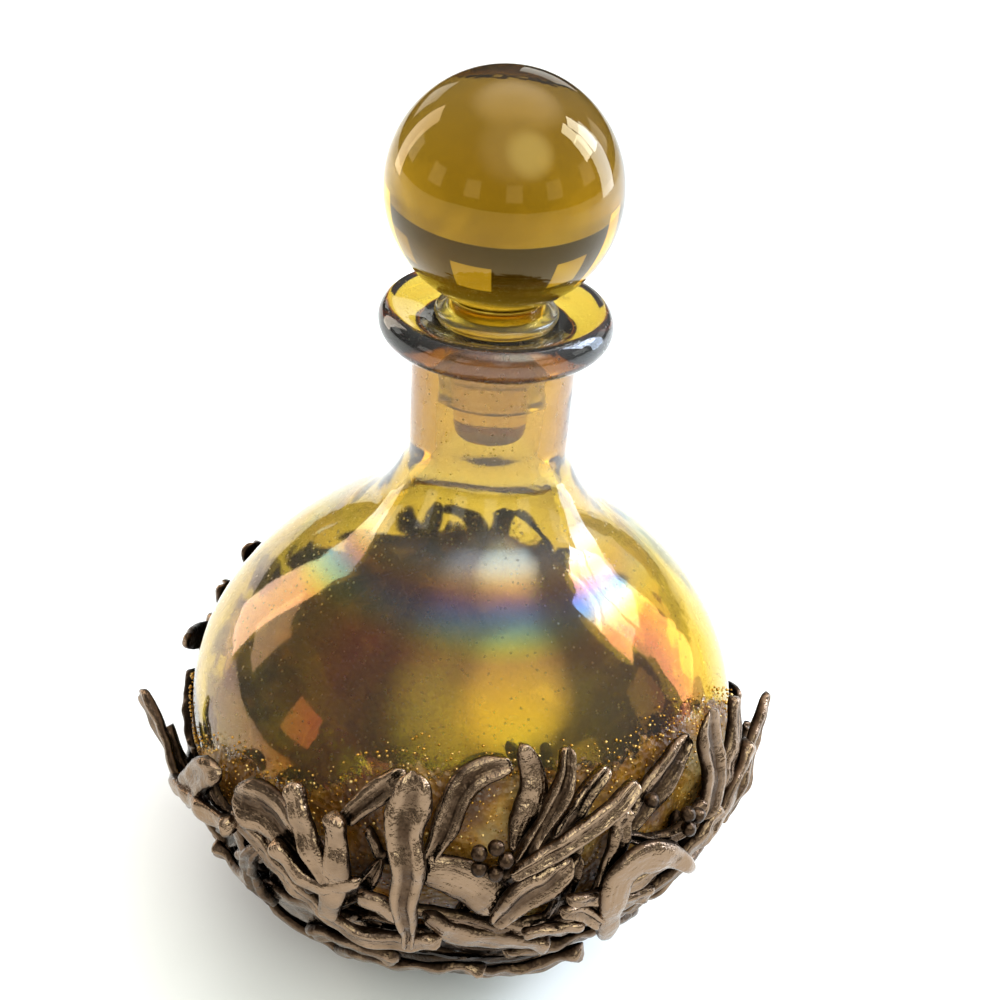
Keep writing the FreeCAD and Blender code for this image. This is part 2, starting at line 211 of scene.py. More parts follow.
BELLY_CURVE = spline(BELLY, 400)
LEAN_CURVE = spline(LEAN, 200)


def lean(height):
    return float(np.interp(height, LEAN_CURVE[:, 0], LEAN_CURVE[:, 1]))


def on_belly(azimuth, height, standoff):
    """Point above the glass belly and the outward direction square to the glass there."""
    radius = np.interp(height, BELLY_CURVE[:, 1], BELLY_CURVE[:, 0])
    above = np.interp(height + 0.5, BELLY_CURVE[:, 1], BELLY_CURVE[:, 0])
    below = np.interp(height - 0.5, BELLY_CURVE[:, 1], BELLY_CURVE[:, 0])
    turn = radians(azimuth)
    outward = Vector((sin(turn), -cos(turn), 0))
    normal = (outward - Vector((0, 0, above - below))).normalized()
    return outward * float(radius) + Vector((lean(height), 0, height)) + normal * standoff, normal


def ripple(point, size, seed):
    """Smooth noise from -1 to 1 that changes over the given size in millimetres."""
    return noise.noise(Vector(point) / size + Vector((seed * 7.3, seed * 3.1, seed * 5.7)))


def placed(name, data):
    """Object with the given data, linked into the scene."""
    made = bpy.data.objects.new(name, data)
    bpy.context.scene.collection.objects.link(made)
    return made


def piece(name, points, faces, materials, attributes=None, outward=True):
    """Smooth-shaded mesh object from points in millimetres."""
    mesh = bpy.data.meshes.new(name)
    mesh.from_pydata([Vector(p) * MM for p in points], [], faces)
    for key, values in (attributes or {}).items():
        layer = mesh.attributes.new(key, "FLOAT", "POINT")
        layer.data.foreach_set("value", np.array(values, np.float32))
    if outward:
        shape = bmesh.new()
        shape.from_mesh(mesh)
        bmesh.ops.recalc_face_normals(shape, faces=shape.faces)
        shape.to_mesh(mesh)
        shape.free()
    mesh.shade_smooth()
    for material in materials:
        mesh.materials.append(material)
    return placed(name, mesh)


def turned(profile, segments, reshape=None):
    """Points and faces of a profile of (radius, height) turned about the axis, poles closed."""
    points, rings, faces = [], [], []
    for i, (radius, height) in enumerate(profile):
        ring = []
        count = 1 if radius < 1e-6 else segments
        for k in range(count):
            turn = 2 * pi * k / segments
            point = Vector((radius * sin(turn), -radius * cos(turn), height))
            ring.append(len(points))
            points.append(reshape(point, i) if reshape else point)
        rings.append(ring)
    for low, high in zip(rings, rings[1:]):
        for k in range(segments):
            n = (k + 1) % segments
            a, b = (low[0], low[0]) if len(low) == 1 else (low[k], low[n])
            c, d = (high[0], high[0]) if len(high) == 1 else (high[n], high[k])
            faces.append(tuple(dict.fromkeys((a, b, c, d))))
    return points, faces, rings


def closed_rows(rows, around, first=0):
    """Four-sided faces between rows of points that each run once round, inner edge to outer."""
    return [(low + k, low + (k + 1) % around, low + around + (k + 1) % around, low + around + k)
            for low in range(first, first + (rows - 1) * around, around) for k in range(around)]


def arc(start, middle, end, count):
    """Points on the circle through three (radius, height) places, the first one left out."""
    (ax, ay), (bx, by), (cx, cy) = start, middle, end
    a, b, c = ax * ax + ay * ay, bx * bx + by * by, cx * cx + cy * cy
    d = 2 * (ax * (by - cy) + bx * (cy - ay) + cx * (ay - by))
    ux = (a * (by - cy) + b * (cy - ay) + c * (ay - by)) / d
    uy = (a * (cx - bx) + b * (ax - cx) + c * (bx - ax)) / d
    radius = hypot(ax - ux, ay - uy)
    angles = [atan2(y - uy, x - ux) for x, y in (start, middle, end)]
    for i in (1, 2):
        while angles[i] - angles[i - 1] > pi:
            angles[i] -= 2 * pi
        while angles[i] - angles[i - 1] < -pi:
            angles[i] += 2 * pi
    return [(ux + radius * cos(a), uy + radius * sin(a))
            for a in np.linspace(angles[0], angles[2], count + 1)[1:]]


def straight(start, end, count):
    """Points from start to end, the first one left out."""
    return [(start[0] + (end[0] - start[0]) * k / count, start[1] + (end[1] - start[1]) * k / count)
            for k in range(1, count + 1)]


# ---- material helpers ----

def hex_colour(code):
    """Linear colour from an sRGB hex code such as #b87333."""
    parts = [int(code[i:i + 2], 16) / 255 for i in (1, 3, 5)]
    return tuple(c / 12.92 if c <= 0.04045 else ((c + 0.055) / 1.055) ** 2.4 for c in parts) + (1.0,)


def add(tree, kind, inputs=None, stops=None, **settings):
    """Add a node: settings are its properties, stops fill a colour ramp, and inputs are values,
    sockets to link, or nodes whose first output is linked."""
    made = tree.nodes.new(kind)
    for key, value in settings.items():
        setattr(made, key, value)
    for key, value in (inputs or {}).items():
        if isinstance(value, bpy.types.Node):
            value = value.outputs[0]
        if isinstance(value, bpy.types.NodeSocket):
            tree.links.new(value, made.inputs[key])
        else:
            made.inputs[key].default_value = value
    if stops:
        band = made.color_ramp.elements
        while len(band) > 1:
            band.remove(band[-1])
        band[0].position, band[0].color = stops[0][0], hex_colour(stops[0][1])
        for place, code in stops[1:]:
            band.new(place).color = hex_colour(code)
    return made


def new_material(name):
    """Empty material, its node tree and the place in the object's own space."""
    material = bpy.data.materials.new(name)
    material.use_nodes = True
    tree = material.node_tree
    tree.nodes.clear()
    return material, tree, add(tree, "ShaderNodeTexCoord").outputs["Object"]


def lustre_glass():
    """Mould-blown amber glass fumed with metal salts: clear honey in thin places, brown where it is thick,
    and on the outside a thin film with rainbow arcs painted round the place where the highlight falls, a
    painted iridescent reflection."""
    material, tree, place = new_material("fumed_amber_glass")
    outside = add(tree, "ShaderNodeAttribute", attribute_name="fumed").outputs["Fac"]
    # drifting waves about 18 mm long bend the edges of the painted rainbow arcs
    drift = add(tree, "ShaderNodeTexNoise", {
        "Vector": place, "Scale": 55.0, "Detail": 3.0, "Distortion": 0.6})
    # distance from the middle of the painted rainbow arcs, high on the front of the belly and a little right,
    # where the highlight falls
    reach = add(tree, "ShaderNodeVectorMath", {0: place, 1: (0.0066, -0.0309, 0.052)}, operation="DISTANCE")
    bent = add(tree, "ShaderNodeMath", {0: drift, 1: 0.012, 2: reach.outputs["Value"]},
               operation="MULTIPLY_ADD")
    share = add(tree, "ShaderNodeMath", {0: bent, 1: 0.066}, operation="DIVIDE")
    # painted iridescent reflection: rainbow arcs from gold through pink and orange to pale blue-white, ringed
    # round the highlight
    painted_sheen_arcs = add(tree, "ShaderNodeValToRGB", {"Fac": share}, stops=[
        (0.00, "#f0d848"), (0.17, "#d8c048"), (0.28, "#a8a070"), (0.37, "#a07068"), (0.43, "#d8707c"),
        (0.49, "#f0985c"), (0.56, "#ecc850"), (0.64, "#eef0c8"), (0.76, "#dcecf2"), (1.00, "#d4d8dc")])
    tint = add(tree, "ShaderNodeMix", {0: outside, 6: (1, 1, 1, 1), 7: painted_sheen_arcs}, data_type="RGBA")
    # the painted rainbow arcs colour what the glass throws back more than what comes through it: a painted
    # iridescent reflection
    faint = add(tree, "ShaderNodeMath", {0: outside, 1: 0.45}, operation="MULTIPLY")
    through = add(tree, "ShaderNodeMix", {0: faint, 6: (1, 1, 1, 1), 7: painted_sheen_arcs}, data_type="RGBA")
    # a dry dusting of specks 0.3 mm across
    specks = add(tree, "ShaderNodeTexVoronoi", {"Vector": place, "Scale": 900.0})
    dust = add(tree, "ShaderNodeMapRange", {0: specks, 1: 0.10, 2: 0.22, 3: 0.35, 4: 0.03})
    haze = add(tree, "ShaderNodeMath", {0: drift, 1: 0.05, 2: dust}, operation="MULTIPLY_ADD")
    film = add(tree, "ShaderNodeMapRange", {0: share, 3: 242.0, 4: 326.0})
    worn = add(tree, "ShaderNodeMath", {0: film, 1: outside}, operation="MULTIPLY")
    # the blown surface swells and dips in waves about 12 mm long
    waves = add(tree, "ShaderNodeTexNoise", {
        "Vector": place, "Scale": 85.0, "Detail": 1.5, "Distortion": 0.8})
    bump = add(tree, "ShaderNodeBump", {"Height": waves, "Strength": 0.22, "Distance": 0.0010})
    shader = add(tree, "ShaderNodeBsdfPrincipled", {
        "Base Color": through.outputs[2], "Roughness": haze, "IOR": 1.52, "Transmission Weight": 0.975,
        "Specular IOR Level": 1.0, "Specular Tint": tint.outputs[2], "Thin Film Thickness": worn,
        "Thin Film IOR": 1.8, "Normal": bump})
    body = add(tree, "ShaderNodeVolumeAbsorption", {"Color": hex_colour("#f0e574"), "Density": 930.0})
    add(tree, "ShaderNodeOutputMaterial", {"Surface": shader, "Volume": body})
    return material


def stopper_glass():
    """Solid amber glass, pressed and fire polished: deep olive gold because the light crosses 28 mm of it,
    with soft flow lines."""
    material, tree, place = new_material("pressed_amber_glass")
    flow = add(tree, "ShaderNodeTexNoise", {"Vector": place, "Scale": 90.0, "Distortion": 0.8})
    parts = add(tree, "ShaderNodeSeparateXYZ", {0: place})
    # painted reflection: a darker grey-lilac tint over the top of the ball thins out towards its foot
    up = add(tree, "ShaderNodeMapRange", {0: parts.outputs["Z"], 1: 0.098, 2: 0.122, 4: 0.8})
    painted_top_reflection = add(tree, "ShaderNodeMath", {0: flow, 1: 0.9, 2: up}, operation="MULTIPLY_ADD")
    tint = add(tree, "ShaderNodeValToRGB", {"Fac": painted_top_reflection}, stops=[
        (0.35, "#fffbe0"), (0.60, "#e8d6a4"), (0.82, "#b09a86"), (1.00, "#8c7c80")])
    rough = add(tree, "ShaderNodeMapRange", {0: flow, 1: 0.3, 2: 0.8, 3: 0.01, 4: 0.05})
    bump = add(tree, "ShaderNodeBump", {"Height": flow, "Strength": 0.08, "Distance": 0.0005})
    shader = add(tree, "ShaderNodeBsdfPrincipled", {
        "Base Color": tint, "Roughness": rough, "IOR": 1.52,
        "Transmission Weight": 1.0, "Specular Tint": hex_colour("#ffe09a"), "Normal": bump})
    body = add(tree, "ShaderNodeVolumeAbsorption", {"Color": hex_colour("#e9dd46"), "Density": 165.0})
    add(tree, "ShaderNodeOutputMaterial", {"Surface": shader, "Volume": body})
    return material


def clear_seal():
    """Moulded clear polyethylene: faintly milky, with soft handling marks."""
    material, tree, place = new_material("moulded_clear_polyethylene")
    marks = add(tree, "ShaderNodeTexNoise", {"Vector": place, "Scale": 400.0, "Detail": 3.0})
    tint = add(tree, "ShaderNodeValToRGB", {"Fac": marks}, stops=[(0.3, "#fffdf2"), (0.7, "#f3f1e2")])
    rough = add(tree, "ShaderNodeMapRange", {0: marks, 1: 0.3, 2: 0.7, 3: 0.08, 4: 0.22})
    shader = add(tree, "ShaderNodeBsdfPrincipled", {
        "Base Color": tint, "Roughness": rough, "IOR": 1.45, "Transmission Weight": 0.95})
    add(tree, "ShaderNodeOutputMaterial", {"Surface": shader})
    return material


def gold_cement(name, stops, clear, flaked):
    """Resin cement thick with brass dust, pressed on by hand: amber where thin, gritty gold where the dust
    gathers, and a painted glow of light low at the back right."""
    material, tree, place = new_material(name)
    clouds = add(tree, "ShaderNodeTexNoise", {
        "Vector": place, "Scale": 130.0, "Detail": 5.0, "Roughness": 0.65})
    # grains of grit about 0.8 mm apart
    grit = add(tree, "ShaderNodeTexVoronoi", {"Vector": place, "Scale": 1300.0})
    colour = add(tree, "ShaderNodeValToRGB", {"Fac": clouds}, stops=stops)
    # it gathers in flakes 8 mm across, with bare brown glue between them
    flakes = add(tree, "ShaderNodeTexVoronoi", {"Vector": place, "Scale": 120.0}, feature="DISTANCE_TO_EDGE")
    bare = add(tree, "ShaderNodeMapRange", {0: flakes, 1: 0.10, 2: 0.17, 3: flaked, 4: 0.0})
    glued = add(tree, "ShaderNodeMix", {0: bare, 6: colour, 7: hex_colour("#5c3612")}, data_type="RGBA")
    # painted glow: the cement turns pale bright gold low at the back right, a painted pool of light
    reach = add(tree, "ShaderNodeVectorMath", {0: place, 1: (0.013, 0.028, 0.019)}, operation="DISTANCE")
    painted_glow = add(tree, "ShaderNodeMapRange", {0: reach.outputs["Value"], 1: 0.008, 2: 0.022, 3: 0.9, 4: 0.0})
    with_painted_glow = add(tree, "ShaderNodeMix", {0: painted_glow, 6: glued.outputs[2], 7: hex_colour("#fff0a0")},
                 data_type="RGBA")
    rough = add(tree, "ShaderNodeMapRange", {0: grit, 2: 0.6, 3: 0.16, 4: 0.50})
    bump = add(tree, "ShaderNodeBump", {"Height": grit, "Strength": 0.7, "Distance": 0.0003})
    # towards its upper edge the cement thins to a dusting of crumbs 0.7 mm across
    edge = add(tree, "ShaderNodeAttribute", attribute_name="edge").outputs["Fac"]
    crumbs = add(tree, "ShaderNodeTexNoise", {"Vector": place, "Scale": 1400.0, "Detail": 3.0})
    left = add(tree, "ShaderNodeMath", {0: edge, 1: -0.9, 2: crumbs}, operation="MULTIPLY_ADD")
    cover = add(tree, "ShaderNodeMapRange", {0: left, 1: -0.16, 2: 0.02})
    shader = add(tree, "ShaderNodeBsdfPrincipled", {
        "Base Color": with_painted_glow.outputs[2], "Roughness": rough, "IOR": 1.5,
        "Transmission Weight": clear, "Alpha": cover, "Normal": bump})
    add(tree, "ShaderNodeOutputMaterial", {"Surface": shader})
    return material


def brass_grit():
    """Loose brass filings caught in the cement: small bright facets of yellow metal."""
    material, tree, place = new_material("brass_filings")
    spread = add(tree, "ShaderNodeTexNoise", {"Vector": place, "Scale": 700.0})
    colour = add(tree, "ShaderNodeValToRGB", {"Fac": spread}, stops=[
        (0.35, "#8a5c18"), (0.5, "#c08c34"), (0.65, "#ecca80")])
    rough = add(tree, "ShaderNodeMapRange", {0: spread, 1: 0.3, 2: 0.7, 3: 0.22, 4: 0.45})
    shader = add(tree, "ShaderNodeBsdfPrincipled", {
        "Base Color": colour, "Roughness": rough, "Metallic": 0.85})
    add(tree, "ShaderNodeOutputMaterial", {"Surface": shader})
    return material


def rubbed_pewter(name, deep, shade, mid, bright, wear):
    """Cast pewter strip under a brown wash that was rubbed back: rosy polished crowns, dark brown hollows,
    and fine hand-rubbing scratches; the values it reads also paint shade on lower layers, strip edges and
    undersides."""
    material, tree, place = new_material(name)
    # rubbed crowns and washed hollows, with painted shade darkening lower layers, strip edges and undersides
    crown_and_shade = add(tree, "ShaderNodeAttribute", attribute_name="rub_and_shade").outputs["Fac"]
    # wash pooled in patches about 3 mm across
    wash = add(tree, "ShaderNodeTexNoise", {"Vector": place, "Scale": 330.0, "Detail": 4.0, "Roughness": 0.6})
    pooled = add(tree, "ShaderNodeMath", {0: wash, 1: 0.55, 2: crown_and_shade}, operation="MULTIPLY_ADD")
    level = add(tree, "ShaderNodeMath", {0: pooled, 1: wear}, operation="SUBTRACT")
    colour = add(tree, "ShaderNodeValToRGB", {"Fac": level}, stops=[
        (0.05, deep), (0.28, shade), (0.58, mid), (0.98, bright)])
    rough = add(tree, "ShaderNodeMapRange", {0: level, 2: 0.9, 3: 0.48, 4: 0.20})
    # fine rubbing marks over dents about 2 mm across
    scratches = add(tree, "ShaderNodeTexNoise", {"Vector": place, "Scale": 2200.0})
    dents = add(tree, "ShaderNodeTexNoise", {"Vector": place, "Scale": 520.0, "Detail": 3.0})
    height = add(tree, "ShaderNodeMath", {0: scratches, 1: 0.25, 2: dents}, operation="MULTIPLY_ADD")
    # drawn furrows 0.6 mm apart run the length of each strip
    along = add(tree, "ShaderNodeAttribute", attribute_name="along").outputs["Fac"]
    across = add(tree, "ShaderNodeAttribute", attribute_name="across").outputs["Fac"]
    run = add(tree, "ShaderNodeCombineXYZ", {"X": across, "Y": along})
    furrows = add(tree, "ShaderNodeTexNoise", {"Vector": run, "Scale": 1.0})
    cut = add(tree, "ShaderNodeMath", {0: furrows, 1: 0.5, 2: height}, operation="MULTIPLY_ADD")
    bump = add(tree, "ShaderNodeBump", {"Height": cut, "Strength": 0.7, "Distance": 0.0006})
    shader = add(tree, "ShaderNodeBsdfPrincipled", {
        "Base Color": colour, "Roughness": rough, "Metallic": 1.0, "Normal": bump})
    add(tree, "ShaderNodeOutputMaterial", {"Surface": shader})
    return material


def pale_floor():
    """Matt painted board."""
    material, tree, place = new_material("matt_white_board")
    tooth = add(tree, "ShaderNodeTexNoise", {"Vector": place, "Scale": 60.0})
    colour = add(tree, "ShaderNodeValToRGB", {"Fac": tooth}, stops=[(0.3, "#f3f2f0"), (0.7, "#f6f5f3")])
    shader = add(tree, "ShaderNodeBsdfPrincipled", {"Base Color": colour, "Roughness": 0.8})
    add(tree, "ShaderNodeOutputMaterial", {"Surface": shader})
    return material


# ---- glass pieces ----

def make_bottle(material):
    """Blown belly, straight neck and dished flange lip, with an uneven inner wall."""
    outer = [(r, z) for r, z in spline(BELLY, 60)]
    neck_top, under_lip, lip_edge = (NECK_RADIUS, 90.2), (NECK_RADIUS + 1.2, 91.4), (13.3, 91.7)
    crest, dish, mouth = (12.9, 95.8), (8.2, 94.2), (BORE_RADIUS, 93.5)
    kick, ring = (0, GLASS_BASE_Z + 0.6), (10.5, GLASS_BASE_Z + 0.3)
    profile = [kick] + straight(kick, ring, 5)
    profile += arc(ring, (12.6, GLASS_BASE_Z - 0.05), outer[1], 5) + outer[2:]
    profile += straight(outer[-1], neck_top, 12)
    profile += arc(neck_top, (NECK_RADIUS + 0.35, 91.05), under_lip, 4) + straight(under_lip, lip_edge, 2)
    profile += arc(lip_edge, (14.2, 93.6), crest, 10) + arc(crest, (11.3, 95.35), dish, 8)
    profile += arc(dish, (7.1, 94.1), mouth, 3)
    outside = len(profile) - 3
    inner = []
    for i, (r, z) in enumerate(outer):
        r0, z0 = outer[max(i - 1, 0)]
        r1, z1 = outer[min(i + 1, len(outer) - 1)]
        run = hypot(r1 - r0, z1 - z0)
        inner.append((r - GLASS_WALL * (z1 - z0) / run, z + GLASS_WALL * (r1 - r0) / run))
    inner = [(r, z) for r, z in inner if GLASS_BASE_Z + GLASS_BASE_THICK + 0.8 < z < 74 and r > BORE_RADIUS]
    profile += straight(mouth, (BORE_RADIUS, 76.5), 10)
    profile += inner[::-1]
    floor_z = GLASS_BASE_Z + GLASS_BASE_THICK
    profile += arc(inner[0], (inner[0][0] - 1.6, floor_z + 0.25), (inner[0][0] - 4, floor_z), 4)
    profile += straight((inner[0][0] - 4, floor_z), (0, floor_z + 0.5), 5)

    def blown(point, i):
        height = point.z
        belly = max(0.0, 1 - abs(height - 42) / 34) ** 0.5 if 8 < height < 76 else 0
        sway = ripple(point, 26, 1 if i < outside else 2) * (0.28 if i < outside else 0.75) * belly
        sway += ripple(point, 9, 3) * (0.03 if i < outside else 0.20) * belly
        lip = 0.16 * ripple(point, 11, 4) if height > 90.5 and i < outside else 0
        outward = Vector((point.x, point.y, 0))
        if outward.length > 1e-6:
            outward.normalize()
        return point + outward * (sway + lip) + Vector((lean(height), 0, lip))

    points, faces, rings = turned(profile, 160, blown)
    fumed = np.zeros(len(points))
    for i, ring in enumerate(rings):
        height = profile[i][1]
        share = 1.0 if height < 60 else max(0.0, 1 - (height - 60) / 10)
        if i < outside:
            fumed[ring] = share
    return piece("lustre_bottle", points, faces, [material], {"fumed": fumed})


def make_stopper(material):
    """Solid ball, slightly out of round, on a short stem with a tapered plug below."""
    join_z = BALL_Z - sqrt(BALL_RADIUS ** 2 - STEM_RADIUS ** 2)
    waist = (STEM_RADIUS - 0.15, join_z - 0.5)
    profile = [(0, BALL_Z + BALL_RADIUS)]
    for angle in np.linspace(pi / 2, -acos((STEM_RADIUS + 0.35) / BALL_RADIUS), 61)[1:]:
        profile.append((BALL_RADIUS * cos(angle), BALL_Z + BALL_RADIUS * sin(angle)))
    profile += arc(profile[-1], (STEM_RADIUS + 0.05, profile[-1][1] - 0.35), waist, 4)
    plug_top, plug_tip, plug_end = (5.55, 95.3), (4.5, 79.9), (3.6, 79.0)
    profile += straight(waist, plug_top, 3) + straight(plug_top, plug_tip, 14)
    profile += arc(plug_tip, (4.22, 79.28), plug_end, 4) + straight(plug_end, (0, 79.15), 3)

    def pressed(point, i):
        if point.z > 96.5:
            outward = (point - Vector((0, 0, BALL_Z))).normalized()
            return point + outward * 0.07 * (ripple(point, 12, 5) - 0.6)
        return point

    points, faces, _ = turned(profile, 128, pressed)
    return piece("ball_stopper", points, faces, [material])


def make_seal(material):
    """Clear sleeve round the plug, with a soft flange in the dished lip."""
    wall, bottom, shoulder, top = BORE_RADIUS - 0.06, 84.5, 93.4, 95.38
    inside_low, inside_high = (4.93, bottom), (5.75, top)
    profile = [inside_low, (6.4, bottom), (wall, bottom + 0.15)]
    profile += straight((wall, bottom + 0.15), (wall, shoulder), 12)
    profile += arc((wall, shoulder), (6.62, 94.1), (7.3, 94.32), 4)
    profile += arc((7.3, 94.32), (7.52, 94.85), (7.1, top), 6)
    profile += straight((7.1, top), inside_high, 3) + straight(inside_high, inside_low, 12)
    points, faces, _ = turned(profile, 96)
    return piece("stopper_collar", points, faces, [material])


# ---- cement and sleeve ----

def cement_top(azimuth):
    """Ragged height of the cement's upper edge."""
    turn = (azimuth + 180) % 360 - 180
    height = 1.0 if abs(turn) <= 90 else 0.80
    local = turn if abs(turn) <= 90 else azimuth % 360 - 180
    places, heights = zip(*CEMENT_EDGE)
    edge = float(np.interp(local, places, heights)) * height
    near = Vector((sin(radians(azimuth)), cos(radians(azimuth)), 0)) * 35
    return edge + 1.3 * ripple(near, 6, 11) + 0.7 * ripple(near, 2, 12) - 0.6


def make_cement(outside, inside):
    """Thin uneven skin on the glass that thins out to a ragged upper edge."""
    columns, rows = 240, 44
    points, edge = [], []
    for side in (0, 1):
        for i in range(rows):
            share = i / (rows - 1)
            for k in range(columns):
                azimuth = 360 * k / columns
                height = 3.6 + (cement_top(azimuth) - 3.6) * share
                at, normal = on_belly(azimuth, height, 0.06)
                thick = CEMENT_THICK * (0.75 + 0.45 * ripple(at, 3.2, 13) + 0.25 * ripple(at, 1.1, 14))
                thick *= min(1.0, (1 - share) * 9 + 0.12)
                points.append(at + normal * (max(0.1, thick) if side else 0))
                edge.append(max(0.0, 1 - (cement_top(azimuth) - height) / 5.0))
    layer = rows * columns
    faces = [face[::-1] for face in closed_rows(rows, columns)] + closed_rows(rows, columns, layer)
    top = (rows - 1) * columns
    for k in range(columns):
        n = (k + 1) % columns
        faces.append((k, n, layer + n, layer + k))
        faces.append((top + n, top + k, layer + top + k, layer + top + n))
    made = piece("cement_skin", points, faces, [outside, inside], {"edge": edge})
    for face in made.data.polygons:
        face.material_index = 1 if max(face.vertices) < layer else 0
    return made


def path_place(root, middle, tip, share):
    """(azimuth, height) on the parabola through the root, the middle and the tip."""
    at_root = (1 - share) * (1 - 2 * share)
    at_middle = 4 * share * (1 - share)
    at_tip = share * (2 * share - 1)
    return [at_root * a + at_middle * b + at_tip * c for a, b, c in zip(root, middle, tip)]


def ribbon(root, middle, tip, width, layer, form, lift, crease, end, seed):
    """Points, faces and surface values of one hand-cut strip: flat inside, crowned outside, with an
    optional crease down the middle and a blunt, beaded or curled tip."""
    stations, around = 40, 22
    bottom = CEMENT_THICK + LEAF_GAP + layer * LAYER_STEP
    shares = FORMS[form]
    at_shares = np.linspace(0, 1, len(shares))
    spots = []
    for i in range(stations + 1):
        share = i / stations
        azimuth, height = path_place(root, middle, tip, share)
        spots.append(on_belly(azimuth, height, bottom + lift * share ** 3))
    length = sum((b[0] - a[0]).length for a, b in zip(spots, spots[1:]))
    points, rub_and_shade, run = [], [], []
    twist = 0.22 * noise.noise(Vector((seed * 1.7, 0.3, 0.7)))
    for i, (centre, normal) in enumerate(spots):
        share = i / stations
        ahead = spots[min(i + 1, stations)][0] - spots[max(i - 1, 0)][0]
        side = ahead.cross(normal).normalized()
        far = share * length
        half = width / 2 * float(np.interp(share, at_shares, shares))
        half *= 1.06 + 0.34 * ripple(centre, 4.5, seed)
        thick = 1.12 * METAL_THICK * (1 + 0.34 * ripple(centre, 3.0, seed + 20))
        rounding = 0.42 * width * (shares[-1] + 0.25)
        left = length - far
        # both ends round off
        close = max(0.12, sqrt(1 - (1 - min(1.0, left / rounding, far / rounding)) ** 2))
        rise = 0.0
        if end == "curl":
            rise = max(0.0, (share - 0.72) / 0.28) ** 2
        if end == "bead":
            swell = exp(-((left - 1.1) / 0.9) ** 2)
            half = half * (1 + 0.22 * swell)
            thick *= 1 + 0.45 * swell
        centre = centre + normal * rise + side * (1.25 * ripple(centre, 7, seed + 5))
        angle = twist * sin(3.1 * share + seed)
        side_turned = side * cos(angle) + normal * sin(angle)
        up = normal * cos(angle) - side * sin(angle)
        for k in range(around):
            a = 2 * pi * k / around
            across = copysign(abs(cos(a)) ** 0.75, cos(a))
            if sin(a) >= 0:
                over = 0.30 + 0.70 * sin(a) ** 0.5
                dip = crease * (-0.5 if seed % 3 == 0 else 1.35) * exp(-(across / 0.30) ** 2)
                ridge = 0.30 * crease * exp(-((abs(across) - 0.62) / 0.22) ** 2)
                over = over * (1 - dip) + ridge
                # crowns lighter and edges darker: partly rubbed polish, partly painted shade where the strip
                # meets what lies under it
                polish_and_shade = 0.30 + 0.55 * (over - 0.3) / 0.7
            else:
                over = 0.30 * (1 + sin(a)) * 0.9
                # the underside against the glass gets none: painted shade
                polish_and_shade = 0.0
            out = 0.15 + (over - 0.15) * close
            point = centre + side_turned * across * half * close + up * thick * out
            point += up * 0.34 * ripple(point, 2.6, seed + 9) * close
            points.append(point)
            # painted shade: lower layers come out darker and outer ones lighter; the lighter tips and the
            # noise are wear
            worn = 0.07 * layer + (0.12 if left < 2 else 0) + 0.10 * ripple(point, 2.5, seed + 3)
            rub_and_shade.append(polish_and_shade + worn)
            run.append((far * 0.14 + seed * 3.7, across * half * 1.7))
    faces = closed_rows(stations + 1, around)
    for first, flip in ((0, True), (stations * around, False)):
        hub = len(points)
        points.append(sum(points[first:first + around], Vector()) / around)
        rub_and_shade.append(0.4)
        run.append(run[first])
        for k in range(around):
            here, after = first + k, first + (k + 1) % around
            faces.append((after, here, hub) if flip else (here, after, hub))
    return points, faces, {"rub_and_shade": rub_and_shade, "along": [a for a, _ in run], "across": [b for _, b in run]}


def joined(parts):
    """Several (points, faces, values) lists as one."""
    points, faces, values = [], [], {}
    for more_points, more_faces, more_values in parts:
        start = len(points)
        points += more_points
        faces += [tuple(i + start for i in face) for face in more_faces]
        for key, more in more_values.items():
            values.setdefault(key, []).extend(more)
    return points, faces, values


def moved_round(places, half):
    """The same places on the belly, carried round the axis and brought down for a half."""
    turn, squash = HALVES[half]
    return [(azimuth + turn, height * squash) for azimuth, height in places]


def ball_of_metal(centre, radius, seed):
    """Slightly dented little ball."""
    shape = bmesh.new()
    bmesh.ops.create_icosphere(shape, subdivisions=3, radius=radius)
    points = [v.co + centre + v.co.normalized() * 0.09 * ripple(v.co + centre, 0.9, seed)
              for v in shape.verts]
    faces = [tuple(v.index for v in face.verts) for face in shape.faces]
    # painted light: each ball is lighter on top and darker underneath
    rub_and_shade = [0.55 + 0.175 * v.co.z / radius for v in shape.verts]
    shape.free()
    return points, faces, {"rub_and_shade": rub_and_shade}


def make_berries(material):
    """Knots of small balls soldered where the leaves cross."""
    parts = []
    for half in HALVES:
        for knot, count, layer in BERRY_KNOTS:
            place = moved_round([knot], half)[0]
            standoff = CEMENT_THICK + LEAF_GAP + layer * LAYER_STEP + BERRY_RADIUS
            middle, normal = on_belly(*place, standoff)
            if count == 1:
                parts.append(ball_of_metal(middle, BERRY_RADIUS, 31))
                continue
            ring = (BERRY_RADIUS + LEAF_GAP) / sin(pi / count)
            across = Vector((0, 0, 1)).cross(normal).normalized()
            along = normal.cross(across)
            for i in range(count):
                turn = 2 * pi * i / count
                at = middle + across * ring * cos(turn) + along * ring * sin(turn)
                parts.append(ball_of_metal(at, BERRY_RADIUS * 1.04, 31 + i))
    points, faces, values = joined(parts)
    return piece("berry_knots", points, faces, [material], values)


